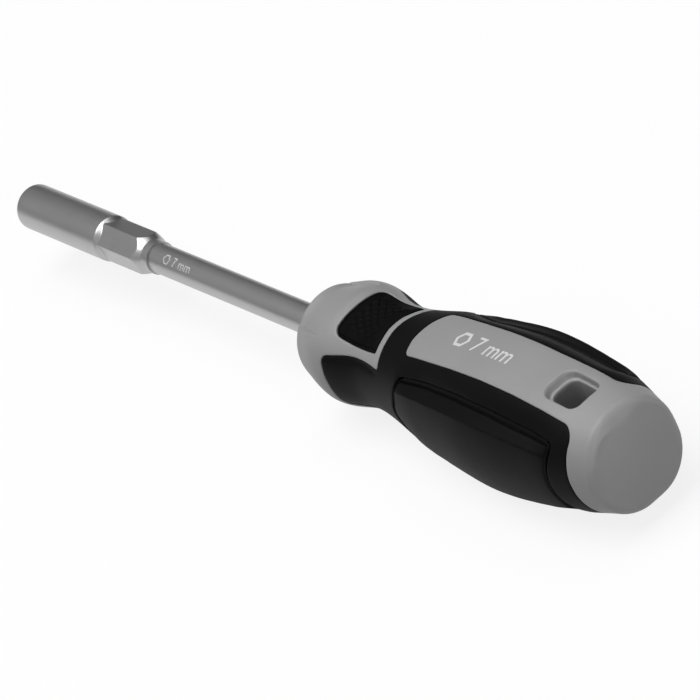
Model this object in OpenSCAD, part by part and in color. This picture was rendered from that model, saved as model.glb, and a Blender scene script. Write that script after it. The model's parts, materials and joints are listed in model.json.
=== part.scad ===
// Fixed-blade nut driver: a steel socket and shaft in a handle of hard grey plastic and soft black grips.
// The origin is the centre of the socket's mouth. X runs back along the blade to the butt, Z points out of
// the upper grey window of the handle, and the two grip panels face left and right along Y.

/* [Socket] */
// Nut that the socket takes, across its flats
nut_size = 7; // [6:0.1:7.2]
// Play of the hexagon recess over the nut
nut_play = 0.12; // [0.06:0.01:0.3]
// Depth of the hexagon recess
recess_depth = 14; // [8:0.5:16]
// Widening of the recess at the mouth
lead_in = 0.35; // [0.1:0.05:0.5]
// Diameter of the bolt clearance bore behind the recess
bolt_bore_d = 6.4; // [5.5:0.1:6.6]
// Depth of the bolt clearance bore behind the recess
bolt_bore_depth = 14; // [8:0.5:16]
// Outer diameter of the socket
socket_d = 10.9; // [10.5:0.1:13]
// Rounding of the mouth's outer edge
mouth_round = 1; // [0.4:0.1:1.1]
// Length of the round part of the socket
socket_len = 36; // [34:0.5:48]
// Length of the hexagon that locks the socket on the shaft
crimp_len = 15; // [8:0.1:18]
// Width of that hexagon across its flats
crimp_flats = 9; // [8.6:0.1:9.6]
// Diameter over the hexagon's rounded corners
crimp_d = 10.2; // [9.7:0.1:10.4]
// Turn of the hexagon from a corner straight up
crimp_turn = 7; // [0:1:30]
// Length of the bevels at both ends of the hexagon
crimp_bevel = 1; // [0.4:0.1:2]
// Length of the taper down to the shaft
taper_len = 4.1; // [3:0.1:10]
// Thickness of the taper's thin end
taper_lip = 0.2; // [0.15:0.05:0.6]

/* [Shaft] */
// Diameter of the shaft
shaft_d = 7; // [6.8:0.1:7.6]
// Length of the blade in front of the handle
blade_len = 127; // [90:1:200]
// Length of the shaft inside the handle
tang_len = 66; // [60:1:74]
// Bevel on both ends of the shaft
shaft_bevel = 0.6; // [0.2:0.1:1]
// Width over the two flattened wings of the tang
wing_span = 13; // [9:0.5:15]
// Thickness of the wings
wing_thick = 2.4; // [1.6:0.1:3.2]
// Length of the wings
wing_len = 14; // [10:0.5:16]
// Slope at each end of the wings
wing_slope = 3; // [1.5:0.5:4]
// Distance from the wings to the end of the tang
wing_inset = 4; // [2:0.5:6]

/* [Handle outline] */
// Length of the handle
handle_len = 109; // [104:1:125]
// Diameter of the front rim
rim_d = 22.2; // [20:0.2:24]
// Rounding of the front rim
rim_round = 1; // [0.5:0.1:2]
// Place of the collar's ridge behind the front
ridge_at = 10.5; // [8:0.5:12]
// Height over the collar's ridge
ridge_h = 25.2; // [23:0.2:28]
// Width over the collar's ridge
ridge_w = 26.8; // [24:0.2:30]
// Place of the neck behind the front
neck_at = 24; // [20:0.5:28]
// Height of the neck
neck_h = 22.2; // [20.6:0.2:25]
// Width of the neck
neck_w = 23.2; // [20.6:0.2:26]
// Place of the flank, where the handle swells, behind the front
flank_at = 49; // [42:0.5:56]
// Height at the flank
flank_h = 28; // [26:0.2:30]
// Width at the flank
flank_w = 30; // [27:0.2:33]
// Place of the belly behind the front
belly_at = 71; // [64:0.5:78]
// Height of the belly
belly_h = 30.4; // [28:0.2:34]
// Width of the belly
belly_w = 33.4; // [30:0.2:38]
// Place of the shoulder in front of the butt's end
shoulder_at = 18; // [14:0.5:24]
// Height of the shoulder
shoulder_h = 28.4; // [26:0.2:32]
// Width of the shoulder
shoulder_w = 30.8; // [28:0.2:34]
// Height of the butt where its dome starts
butt_h = 24.8; // [21:0.2:26]
// Width of the butt where its dome starts
butt_w = 23.8; // [22:0.2:27]
// Length of the domed end
dome_len = 3.2; // [2:0.1:5]

/* [Grips] */
// Thickness of the soft sleeve
sleeve_wall = 2.2; // [1.8:0.1:2.8]
// Wall of hard plastic between the sleeve and the core
skin_wall = 1.6; // [1.2:0.1:2]
// Start of the side scoops behind the front
scoop_at = 13; // [11:0.5:15]
// Height of the side scoops
scoop_h = 14.6; // [10:0.2:16]
// Corner radius of the side scoops
scoop_corner = 3; // [1:0.5:4]
// Start of the sleeve's full ring behind the front
collar_at = 32; // [30:0.5:34]
// Start of the windows behind the front
window_at = 41; // [38:0.5:46]
// Width of the windows
window_w = 14; // [11:0.5:16]
// Corner radius at the front of the windows
window_corner = 2; // [0.5:0.5:3]
// End of the sleeve in front of the butt's end
sleeve_end_at = 7.6; // [6:0.2:11]
// Corner radius at the end of the sleeve
sleeve_corner = 3; // [1:0.5:4]
// Front of the grip panels in front of the butt's end
panel_at = 70.5; // [67:0.5:73]
// Length of the grip panels
panel_len = 58; // [50:1:60]
// Radius of the panels' round front
panel_bow = 11.6; // [9:0.2:14]
// Distance of the panels' long edges from the middle plane
panel_edge = 12.3; // [9.5:0.1:13]
// Height of the panels' ridges over the sleeve
panel_rise = 0.4; // [0.2:0.1:1]
// Height of the panels' faces over the sleeve, midway between the ridges
panel_face = 0.1; // [0:0.05:0.6]
// Angle from the top at which the panels' bevels start
panel_bevel = 48.8; // [46:0.2:52]
// Angle from the top of the panels' ridges, where the bevels end
panel_ridge = 57.6; // [54:0.2:62]
// Further angle of the bevels and ridges at the panels' ends
panel_bow_angle = 5; // [2:0.5:8]
// Depth of the panels' seats in the sleeve
panel_seat = 1.2; // [0.6:0.1:1.5]
// Groove round the panels
panel_groove = 0.35; // [0.2:0.05:0.6]
// Front of the thumb pads behind the front
pad_at = 15.4; // [14:0.2:17]
// Length of the thumb pads
pad_len = 14.6; // [10:0.2:15]
// Width of the thumb pads
pad_w = 15; // [11:0.5:15]
// Corner radius of the thumb pads
pad_corner = 2.6; // [1:0.2:4]
// Depth of the thumb pads' pockets
pad_seat = 1.6; // [1:0.1:2]
// Rib of hard plastic between the thumb pads and the side scoops
pad_rib = 0.8; // [0.6:0.1:1.2]
// Depth of the thumb pads below the collar
pad_sink = 0.2; // [0.1:0.1:0.5]

/* [Hanging hole] */
// Middle of the hanging hole in front of the butt's end
hole_at = 14.5; // [14:0.5:16]
// Length of the hole along the handle
hole_len = 8.6; // [6:0.2:9]
// Width of the hole
hole_w = 7; // [5:0.2:8]
// Corner radius of the hole
hole_corner = 2; // [1:0.2:2.4]
// Widening of the sunk border round the hole
border_w = 1.3; // [0.8:0.1:1.5]
// Depth of the sunk border
border_sink = 1.2; // [0.6:0.1:2]

/* [Core] */
// Start of the core behind the front
core_at = 8; // [6:0.5:10]
// Cover of the core behind the end of the tang
core_cover = 14; // [8:0.5:15]
// Length of the cone between the core's two diameters
core_cone_len = 10; // [6:0.5:14]
// Gap between the core or shaft and the body moulded round it
mould_gap = 0.05; // [0.04:0.01:0.1]

/* [Hidden] */
$fn = 64;

// Colours of the steel, the hidden core, the hard body and the soft grips
steel = [0.66, 0.66, 0.67];
core_grey = [0.45, 0.45, 0.46];
body_grey = [0.58, 0.58, 0.58];
grip_black = [0.13, 0.13, 0.135];

// Cuts run past the faces that they open by this much
overrun = socket_d / 10;
hex_sides = 6;
flats_to_corners = 1 / cos(180 / hex_sides);
// Steps by which the bevel and the taper clear the flats of the socket's outer hexagon
crimp_step = 0.1;

// Places along the blade, from the socket's mouth
shaft_front = recess_depth + bolt_bore_depth;
crimp_front = socket_len - crimp_bevel;
crimp_end = socket_len + crimp_len;
taper_end = crimp_end + taper_len;
front = blade_len;
tang_end = front + tang_len;
recess_flats = nut_size + nut_play;

// Places at the rear of the handle, which keep their distance from the butt, behind the front
dome_at = handle_len - dome_len;
shoulder = handle_len - shoulder_at;
sleeve_end = handle_len - sleeve_end_at;
panel_front = handle_len - panel_at;
panel_end = panel_front + panel_len;
hole_front = handle_len - hole_at - hole_len / 2;
hole_end = hole_front + hole_len;

// The handle's sections are rounded rectangles: place behind the front, height, width and squareness
sections = [
    [0, rim_d, rim_d, 2],
    [ridge_at, ridge_h, ridge_w, 2.3],
    [neck_at, neck_h, neck_w, 2.2],
    [flank_at, flank_h, flank_w, 2.55],
    [belly_at, belly_h, belly_w, 2.6],
    [shoulder, shoulder_h, shoulder_w, 2.4],
    [dome_at, butt_h, butt_w, 2.2]
];
last_section = len(sections) - 1;
dome_squareness = 2.2;
ring_points = 32;
rim_steps = 3;
barrel_steps = 26;
panel_steps = 12;
face_steps = 4;
dome_steps = 6;
rim_places = [for (i = [0:rim_steps - 1]) rim_round * (1 - cos(90 * i / rim_steps))];
barrel_places = [for (i = [0:barrel_steps]) rim_round + (dome_at - rim_round) * i / barrel_steps];
dome_places = [for (i = [1:dome_steps]) dome_at + dome_len * pow(sin(90 * i / dome_steps), 2 / dome_squareness)];

// Regions reach past the widest part of the handle
reach = max(belly_h, belly_w);

// The core fills the handle inside the sleeve and the hard skin
core_neck_r = neck_h / 2 - sleeve_wall - skin_wall;
core_belly_r = flank_h / 2 - sleeve_wall - skin_wall;
core_end = tang_len + core_cover;

// Smooth curve through one column of the sections, with no overshoot between them
function secant(column, i) =
    (sections[i + 1][column] - sections[i][column]) / (sections[i + 1][0] - sections[i][0]);
function mean_slope(a, b) = a * b <= 0 ? 0 : 2 * a * b / (a + b);
function slope(column, i) =
    i == 0 ? secant(column, 0)
    : i == last_section ? secant(column, i - 1)
    : mean_slope(secant(column, i - 1), secant(column, i));
function span_of(place) = max([for (i = [0:last_section - 1]) if (i == 0 || sections[i][0] <= place) i]);
function along(column, place) =
    let (
        i = span_of(place),
        span = sections[i + 1][0] - sections[i][0],
        u = min(1, (place - sections[i][0]) / span),
        rise = u * u * (3 - 2 * u)
    )
    sections[i][column] * (1 - rise) + sections[i + 1][column] * rise
    + span * u * (1 - u) * ((1 - u) * slope(column, i) - u * slope(column, i + 1));

function rim_drop(place) =
    place >= rim_round ? 0 : rim_round - sqrt(pow(rim_round, 2) - pow(rim_round - place, 2));
function dome_scale(place) =
    place <= dome_at ? 1
    : pow(1 - pow(min(1, (place - dome_at) / dome_len), dome_squareness), 1 / dome_squareness);

// Distance of the handle's outside, grown outwards by grow, from its axis: the angle counts from the side
function radius_at(place, angle, grow) =
    let (
        half_h = along(1, place) / 2 - rim_drop(place) + grow,
        half_w = along(2, place) / 2 - rim_drop(place) + grow,
        power = along(3, place),
        flat = pow(abs(cos(angle)) / half_w, power) + pow(abs(sin(angle)) / half_h, power)
    )
    dome_scale(place) * pow(flat, -1 / power);

function spot(place, angle, grow) = radius_at(place, angle, grow) * [cos(angle), sin(angle)];

// One section of the handle as a ring of points
function ring(place, grow) =
    [for (k = [0:ring_points - 1])
        concat(front + place, spot(place, 360 * k / ring_points, grow))];

// One section of the right panel's outside: straight bevels, run on to the middle plane, and a round face
function panel_ring(place) =
    let (
        bow = panel_bow_angle * pow(2 * (place - panel_front) / panel_len - 1, 2),
        groove = spot(place, 90 - panel_bevel - bow, 0),
        ridge = spot(place, 90 - panel_ridge - bow, panel_rise),
        middle = radius_at(place, 0, panel_face),
        run_on = ridge[1] + (groove[1] - ridge[1]) * ridge[0] / (ridge[0] - groove[0]),
        centre = (ridge * ridge - pow(middle, 2)) / 2 / (ridge[0] - middle),
        radius = middle - centre,
        swing = atan2(ridge[1], ridge[0] - centre)
    )
    concat(
        [[front + place, 0, -run_on]],
        [for (k = [-face_steps:face_steps])
            let (turn = swing * k / face_steps)
            [front + place, centre + radius * cos(turn), radius * sin(turn)]],
        [[front + place, 0, run_on]]
    );

// Solid through a list of sections
module loft(rings) {
    count = len(rings[0]);
    first_ring = [for (k = [0:count - 1]) k];
    second_ring = [for (k = [0:count - 1]) 2 * count - 1 - k];
    for (i = [0:len(rings) - 2])
        hull()
            polyhedron(concat(rings[i], rings[i + 1]), [first_ring, second_ring]);
}

module handle_form() {
    loft([for (place = concat(rim_places, barrel_places, dome_places)) ring(place, 0)]);
}

module barrel(grow) {
    loft([for (place = barrel_places) ring(place, grow)]);
}

module panel_form() {
    loft([for (i = [0:panel_steps]) panel_ring(panel_front + panel_len * i / panel_steps)]);
}

// Layer of the handle between two depths, each counted outwards
module layer(outer, inner) {
    difference() {
        barrel(outer);
        barrel(inner);
    }
}

module along_x(place) {
    translate([place, 0, 0])
        rotate([0, 90, 0])
            children();
}

module from_above() {
    linear_extrude(2 * reach, center = true)
        translate([front, 0])
            children();
}

module from_side() {
    rotate([90, 0, 0])
        linear_extrude(2 * reach, center = true)
            translate([front, 0])
                children();
}

module rounded(radius) {
    offset(r = radius, $fn = 32)
        offset(delta = -radius)
            children();
}

module filleted(radius) {
    offset(r = -radius, $fn = 32)
        offset(delta = radius)
            children();
}

module hexagon(flats, length) {
    cylinder(d = flats * flats_to_corners, h = length, $fn = hex_sides);
}

// Rectangle from one place along the handle to another, centred across it
module band(from, to, width) {
    translate([from, -width / 2])
        square([to - from, width]);
}

// Round nose of the socket: rounded mouth and a bevelled end that runs out inside the hexagon
module socket_nose() {
    mouth_steps = 6;
    mouth = [for (i = [0:mouth_steps])
        [
            socket_d / 2 - mouth_round * (1 - sin(90 * i / mouth_steps)),
            mouth_round * (1 - cos(90 * i / mouth_steps))
        ]];
    nose_end = crimp_front + crimp_bevel * (socket_d - bolt_bore_d) / (socket_d - crimp_flats);
    rotate_extrude()
        polygon(concat([[0, 0]], mouth, [
            [socket_d / 2, crimp_front],
            [bolt_bore_d / 2, nose_end],
            [0, nose_end]
        ]));
}

// Hexagon that locks the socket on the shaft, with bevelled rear corners
module socket_crimp() {
    intersection() {
        rotate_extrude()
            polygon([
                [0, crimp_front],
                [crimp_d / 2, crimp_front],
                [crimp_d / 2, crimp_end - crimp_bevel],
                [crimp_flats / 2 - crimp_step, crimp_end],
                [0, crimp_end]
            ]);
        translate([0, 0, crimp_front])
            rotate([0, 0, crimp_turn])
                hexagon(crimp_flats, crimp_len + crimp_bevel);
    }
}

// Taper behind the hexagon, rooted inside it
module socket_taper() {
    rotate_extrude()
        polygon([
            [0, crimp_end - crimp_bevel],
            [(shaft_d + taper_lip) / 2, crimp_end - crimp_bevel],
            [crimp_flats / 2 - 2 * crimp_step, crimp_end],
            [shaft_d / 2 + taper_lip, taper_end],
            [0, taper_end]
        ]);
}

module socket() {
    color(steel)
        along_x(0)
            difference() {
                union() {
                    socket_nose();
                    socket_crimp();
                    socket_taper();
                }
                translate([0, 0, -overrun])
                    hexagon(recess_flats, recess_depth + overrun);
                cylinder(
                    d1 = recess_flats * flats_to_corners + lead_in,
                    d2 = recess_flats,
                    h = recess_flats * (flats_to_corners - 1) + lead_in
                );
                cylinder(d = bolt_bore_d, h = shaft_front);
                translate([0, 0, shaft_front])
                    cylinder(d = shaft_d, h = taper_end - shaft_front + overrun);
            }
}

module shaft_bar() {
    along_x(shaft_front)
        rotate_extrude()
            polygon([
                [0, 0],
                [shaft_d / 2 - shaft_bevel, 0],
                [shaft_d / 2, shaft_bevel],
                [shaft_d / 2, tang_end - shaft_front - shaft_bevel],
                [shaft_d / 2 - shaft_bevel, tang_end - shaft_front],
                [0, tang_end - shaft_front]
            ]);
}

// Flattened wings that keep the shaft from turning in the handle
module shaft_wings() {
    translate([tang_end - wing_inset - wing_len, 0, 0])
        linear_extrude(wing_thick, center = true)
            polygon([
                [0, 0],
                [wing_slope, wing_span / 2],
                [wing_len - wing_slope, wing_span / 2],
                [wing_len, 0],
                [wing_len - wing_slope, -wing_span / 2],
                [wing_slope, -wing_span / 2]
            ]);
}

module shaft() {
    color(steel) {
        shaft_bar();
        shaft_wings();
    }
}

// Turned outline of the core, grown outwards by grow
module core_form(grow) {
    along_x(front)
        rotate_extrude()
            polygon([
                [0, core_at - grow],
                [core_neck_r + grow, core_at - grow],
                [core_neck_r + grow, flank_at - core_cone_len / 2],
                [core_belly_r + grow, flank_at + core_cone_len / 2],
                [core_belly_r + grow, core_end + grow],
                [0, core_end + grow]
            ]);
}

module handle_core() {
    color(core_grey)
        difference() {
            core_form(0);
            shaft_bar();
            shaft_wings();
        }
}

// Where the soft sleeve lies: side scoops, full ring and the strips beside the windows
module sleeve_region() {
    difference() {
        from_side()
            rounded(scoop_corner)
                band(scoop_at, window_at, scoop_h);
        from_above()
            band(0, collar_at, pad_w + 2 * pad_rib);
    }
    from_above()
        filleted(window_corner)
            rounded(sleeve_corner)
                difference() {
                    band(collar_at, sleeve_end, 2 * reach);
                    band(window_at, sleeve_end + overrun, window_w);
                }
}

// Where one grip panel lies, on the side of positive Y, widened by gap
module panel_region(gap) {
    bow_middle = panel_front + panel_bow;
    intersection() {
        from_side() {
            translate([bow_middle, 0])
                circle(r = panel_bow + gap);
            band(bow_middle, panel_end + gap, 2 * reach);
        }
        from_above()
            translate([0, panel_edge - gap])
                square([handle_len, reach]);
    }
}

// Where one thumb pad lies, on the side of positive Z
module pad_region() {
    intersection() {
        from_above()
            rounded(pad_corner)
                band(pad_at, pad_at + pad_len, pad_w);
        translate([front, -reach, 0])
            cube([handle_len, 2 * reach, reach]);
    }
}

// Through hole for hanging the tool up, with a sunk border on both windows
module hanging_hole() {
    border_z = along(1, handle_len - hole_at) / 2 - border_sink;
    from_above()
        rounded(hole_corner)
            band(hole_front, hole_end, hole_w);
    for (side = [0, 1])
        mirror([0, 0, side])
            translate([front, 0, border_z])
                linear_extrude(reach)
                    rounded(hole_corner + border_w)
                        band(hole_front - border_w, hole_end + border_w, hole_w + 2 * border_w);
}

module handle_body() {
    color(body_grey)
        difference() {
            handle_form();
            difference() {
                sleeve_region();
                barrel(-sleeve_wall);
            }
            for (side = [0, 1])
                mirror([0, 0, side])
                    difference() {
                        pad_region();
                        barrel(-pad_seat);
                    }
            hanging_hole();
            core_form(mould_gap);
            along_x(front - overrun)
                cylinder(d = shaft_d + 2 * mould_gap, h = core_at + overrun);
        }
}

module grip_sleeve() {
    color(grip_black)
        difference() {
            intersection() {
                sleeve_region();
                layer(0, -sleeve_wall);
            }
            for (side = [0, 1])
                mirror([0, side, 0])
                    difference() {
                        panel_region(panel_groove);
                        barrel(-panel_seat);
                    }
        }
}

module grip_panel() {
    color(grip_black)
        intersection() {
            panel_region(0);
            difference() {
                panel_form();
                barrel(-panel_seat);
            }
        }
}

module grip_panel_left() {
    mirror([0, 1, 0])
        grip_panel();
}

module grip_panel_right() {
    grip_panel();
}

module thumb_pad() {
    color(grip_black)
        intersection() {
            pad_region();
            layer(-pad_sink, -pad_seat);
        }
}

module thumb_pad_top() {
    thumb_pad();
}

module thumb_pad_bottom() {
    mirror([0, 0, 1])
        thumb_pad();
}

socket();
shaft();
handle_core();
handle_body();
grip_sleeve();
grip_panel_left();
grip_panel_right();
thumb_pad_top();
thumb_pad_bottom();
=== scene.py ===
import json
from math import cos, degrees, hypot, pi, radians, sin, sqrt, tan

import bmesh
import bpy
import numpy as np
from mathutils import Matrix, Vector

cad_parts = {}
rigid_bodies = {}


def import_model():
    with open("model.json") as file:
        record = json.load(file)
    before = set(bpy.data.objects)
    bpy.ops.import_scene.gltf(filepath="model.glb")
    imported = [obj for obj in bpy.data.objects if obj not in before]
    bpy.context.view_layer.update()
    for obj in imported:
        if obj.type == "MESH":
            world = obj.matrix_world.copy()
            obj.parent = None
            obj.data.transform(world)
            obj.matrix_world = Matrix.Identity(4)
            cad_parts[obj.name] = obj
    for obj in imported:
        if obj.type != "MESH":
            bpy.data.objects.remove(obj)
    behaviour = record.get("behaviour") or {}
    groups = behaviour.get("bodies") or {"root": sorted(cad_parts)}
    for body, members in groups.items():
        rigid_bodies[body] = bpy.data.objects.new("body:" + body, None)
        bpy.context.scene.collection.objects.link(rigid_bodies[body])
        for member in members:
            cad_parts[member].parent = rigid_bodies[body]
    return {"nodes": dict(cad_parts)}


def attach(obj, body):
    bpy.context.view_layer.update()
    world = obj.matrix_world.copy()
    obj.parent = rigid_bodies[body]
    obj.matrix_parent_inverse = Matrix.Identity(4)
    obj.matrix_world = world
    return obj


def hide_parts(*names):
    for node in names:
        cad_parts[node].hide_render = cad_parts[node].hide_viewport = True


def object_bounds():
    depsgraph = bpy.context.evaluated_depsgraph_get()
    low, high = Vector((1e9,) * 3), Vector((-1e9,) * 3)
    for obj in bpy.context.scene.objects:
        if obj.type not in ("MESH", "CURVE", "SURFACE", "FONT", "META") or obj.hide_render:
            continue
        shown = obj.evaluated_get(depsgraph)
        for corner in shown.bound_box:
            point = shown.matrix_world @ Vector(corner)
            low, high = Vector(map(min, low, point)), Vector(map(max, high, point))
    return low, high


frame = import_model()
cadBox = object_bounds()
scene = bpy.context.scene
scene.view_settings.view_transform = "Standard"
mm = 0.001

# camera at the photograph's viewing angle, worked out from the shaft's edges and the round ends
viewpoint = {
    "place": (1.0837, -0.3941, 0.6136),
    "right": (0.5616, 0.7187, -0.4099),
    "up": (-0.2349, 0.6136, 0.7539),
    "lens": 285.9,
    "sensor": 36.0,
    "clip": (0.05, 20.0),
}


def setCamera():
    right, up = Vector(viewpoint["right"]).normalized(), Vector(viewpoint["up"]).normalized()
    back = right.cross(up).normalized()
    up = back.cross(right)
    data = bpy.data.cameras.new("camera")
    data.lens, data.sensor_width = viewpoint["lens"], viewpoint["sensor"]
    data.clip_start, data.clip_end = viewpoint["clip"]
    camera = bpy.data.objects.new("camera", data)
    turned = Matrix((right, up, back)).transposed().to_4x4()
    camera.matrix_world = Matrix.Translation(viewpoint["place"]) @ turned
    scene.collection.objects.link(camera)
    scene.camera = camera


setCamera()
print("camera set")


class Wire:
    # one output socket; sums and products of wires add Math nodes to its tree
    def __init__(self, tree, socket=None):
        self.tree, self.socket = tree, socket

    def node(self, kind, settings, sockets, out=0):
        made = self.tree.nodes.new("ShaderNode" + kind)
        for name, value in settings.items():
            if name == "stops":
                ramp = made.color_ramp
                for place, shade in value[2:]:
                    ramp.elements.new(place)
                for element, (place, shade) in zip(ramp.elements, sorted(value)):
                    element.position, element.color = place, (shade, shade, shade, 1)
            else:
                setattr(made, name, value)
        for name, value in sockets.items():
            if isinstance(value, Wire):
                self.tree.links.new(value.socket, made.inputs[name])
            else:
                made.inputs[name].default_value = value
        return Wire(self.tree, made.outputs[out] if made.outputs else None)

    def combine(self, operation, left, right):
        return self.node("Math", {"operation": operation}, {0: left, 1: right})

    def __add__(self, other):
        return self.combine("ADD", self, other)

    def __sub__(self, other):
        return self.combine("SUBTRACT", self, other)

    def __mul__(self, other):
        return self.combine("MULTIPLY", self, other)

    def __rsub__(self, other):
        return self.combine("SUBTRACT", other, self)

    __radd__ = __add__
    __rmul__ = __mul__


def startFinish(name):
    finish = bpy.data.materials.new(name)
    finish.use_nodes = True
    tree = finish.node_tree
    tree.nodes.clear()
    return finish, Wire(tree)


def endFinish(finish, wires, sockets):
    shader = wires.node("BsdfPrincipled", {}, sockets)
    wires.node("OutputMaterial", {"is_active_output": True}, {"Surface": shader})
    return finish


def grain(wires, spot, scale, detail=3.0, roughness=0.5):
    return wires.node("TexNoise", {}, {
        "Vector": spot, "Scale": scale, "Detail": detail, "Roughness": roughness})


def bumpFrom(wires, height, strength, distance):
    return wires.node("Bump", {}, {"Strength": strength, "Distance": distance, "Height": height})


def shadeMix(wires, share, dark, light):
    return wires.node("Mix", {"data_type": "RGBA"}, {0: share, 6: (*dark, 1), 7: (*light, 1)}, 2)


plasticFinish = {
    "dark": (0.236, 0.236, 0.236), "light": (0.270, 0.270, 0.270), "roughness": 0.46, "specular": 0.4,
    "cloudScale": 90.0, "grainScale": 2600.0, "grainHeight": 0.000012,
}
gripFinish = {
    "dark": (0.0013, 0.0013, 0.0014), "light": (0.0020, 0.0020, 0.0021), "roughness": 0.57, "specular": 0.08,
    "cloudScale": 120.0, "grainScale": 3200.0, "grainHeight": 0.00001,
}
padFinish = {
    "dark": (0.0016, 0.0016, 0.0017), "light": (0.0026, 0.0026, 0.0027), "roughness": 0.6, "specular": 0.045,
    "cloudScale": 160.0, "grainScale": 3600.0, "grainHeight": 0.000012,
}
coreFinish = {
    "dark": (0.42, 0.42, 0.43), "light": (0.47, 0.47, 0.48), "roughness": 0.5, "specular": 0.5,
    "cloudScale": 100.0, "grainScale": 2400.0, "grainHeight": 0.00001,
}
printFinish = {
    "dark": (0.52, 0.52, 0.52), "light": (0.58, 0.58, 0.58), "roughness": 0.55, "specular": 0.4,
    "cloudScale": 300.0, "grainScale": 3000.0, "grainHeight": 0.000006,
}
# the shaft's stamp is a real mark, but its light grey colour is a painted highlight for the light that its
# stamped strokes catch
stampSheenFinish = {
    "dark": (0.42, 0.42, 0.42), "light": (0.52, 0.52, 0.52), "roughness": 0.5, "specular": 0.3,
    "cloudScale": 400.0, "grainScale": 3000.0, "grainHeight": 0.000006,
}
steelFinish = {
    "dark": (0.42, 0.42, 0.425), "light": (0.50, 0.50, 0.505), "roughness": 0.36, "roughnessSpan": 0.1,
    "streakAlong": 18.0, "streakAcross": 1500.0, "cloudScale": 240.0, "streakHeight": 0.000004,
}
# shares of the noises in the colour and the roughness, and the strength of the bumps
mouldedMix = {"cloud": 0.7, "fine": 0.3, "cloudRough": 0.08, "fineRough": 0.06, "bump": 0.6}
steelMix = {"streak": 0.5, "cloud": 0.5, "streakRough": 0.6, "cloudRough": 0.4, "bump": 0.5}


def mouldedFinish(name, look):
    finish, wires = startFinish(name)
    mix = mouldedMix
    spot = wires.node("TexCoord", {}, {}, 3)
    cloud = grain(wires, spot, look["cloudScale"])
    fine = grain(wires, spot, look["grainScale"], 2.0)
    colour = shadeMix(wires, cloud * mix["cloud"] + fine * mix["fine"], look["dark"], look["light"])
    bump = bumpFrom(wires, fine, mix["bump"], look["grainHeight"])
    least = look["roughness"] - (mix["cloudRough"] + mix["fineRough"]) / 2
    roughness = cloud * mix["cloudRough"] + fine * mix["fineRough"] + least
    return endFinish(finish, wires, {
        "Base Color": colour, "Roughness": roughness, "Normal": bump, "Specular IOR Level": look["specular"]})


def turnedSteel(name, look):
    finish, wires = startFinish(name)
    mix, span = steelMix, look["roughnessSpan"]
    spot = wires.node("TexCoord", {}, {}, 3)
    stretch = (look["streakAlong"], look["streakAcross"], look["streakAcross"])
    drawn = wires.node("Mapping", {"vector_type": "POINT"}, {"Vector": spot, "Scale": stretch})
    streak = grain(wires, drawn, 1.0, 4.0, 0.6)
    cloud = grain(wires, spot, look["cloudScale"])
    colour = shadeMix(wires, streak * mix["streak"] + cloud * mix["cloud"], look["dark"], look["light"])
    bump = bumpFrom(wires, streak, mix["bump"], look["streakHeight"])
    roughness = streak * (span * mix["streakRough"]) + cloud * (span * mix["cloudRough"])
    roughness = roughness + (look["roughness"] - span / 2)
    return endFinish(finish, wires, {
        "Base Color": colour, "Metallic": 1.0, "Roughness": roughness, "Normal": bump})


greyPlastic = mouldedFinish("greyPlastic", plasticFinish)
blackGrip = mouldedFinish("blackGrip", gripFinish)
blackPad = mouldedFinish("blackPad", padFinish)
corePlastic = mouldedFinish("corePlastic", coreFinish)
printInk = mouldedFinish("printInk", printFinish)
# stamp finish: real mark with a painted highlight in its light grey colour
stampedSheenSteel = mouldedFinish("stampedSheenSteel", stampSheenFinish)
satinSteel = turnedSteel("satinSteel", steelFinish)
print("finishes made")

# the handle's outside: place behind the front, height, width and squareness of each section
handleForm = {
    "front": 127.0, "length": 109.0, "rimRound": 1.0,
    "sections": [
        (0, 22.2, 22.2, 2), (10.5, 25.2, 26.8, 2.3), (24, 22.2, 23.2, 2.2), (49, 28, 30, 2.55),
        (71, 30.4, 33.4, 2.6), (91, 28.4, 30.8, 2.4), (105.8, 24.8, 23.8, 2.2),
    ],
}
arcPerDegree = 0.22  # mm on the flat sheets for each degree round the handle
# slopes of the curve through the sections, level where it turns
rows = np.array(handleForm["sections"], float)
secants = (rows[1:] - rows[:-1]) / (rows[1:, :1] - rows[:-1, :1])
product = secants[:-1] * secants[1:]
meanSlopes = np.where(product > 0, 2 * product / np.where(product > 0, secants[:-1] + secants[1:], 1), 0)
slopes = np.vstack([secants[:1], meanSlopes, secants[-1:]])


def formAt(place):
    i = min(max(int(np.searchsorted(rows[:, 0], place, "right")) - 1, 0), len(rows) - 2)
    span = rows[i + 1, 0] - rows[i, 0]
    u = min(1.0, (place - rows[i, 0]) / span)
    rise = u * u * (3 - 2 * u)
    bend = (1 - u) * slopes[i] - u * slopes[i + 1]
    return rows[i] * (1 - rise) + rows[i + 1] * rise + span * u * (1 - u) * bend


def handleRadius(place, angle, depth):
    # angle in degrees from the top towards the camera's side, depth outwards from the handle's outside
    form = formAt(place)
    rim = handleForm["rimRound"]
    drop = rim - sqrt(max(0.0, rim**2 - (rim - place) ** 2)) if place < rim else 0.0
    high, wide = form[1] / 2 - drop + depth, form[2] / 2 - drop + depth
    c, s = abs(cos(radians(angle))), abs(sin(radians(angle)))
    return ((s / wide) ** form[3] + (c / high) ** form[3]) ** (-1 / form[3])


def handlePoint(place, angle, depth):
    r = handleRadius(place, angle, depth)
    return Vector((handleForm["front"] + place, -r * sin(radians(angle)), r * cos(radians(angle)))) * mm


def foldAngle(angle):
    # the handle is alike in its four quarters
    turned = abs((angle + 180) % 360 - 180)
    return min(turned, 180 - turned)


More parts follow.
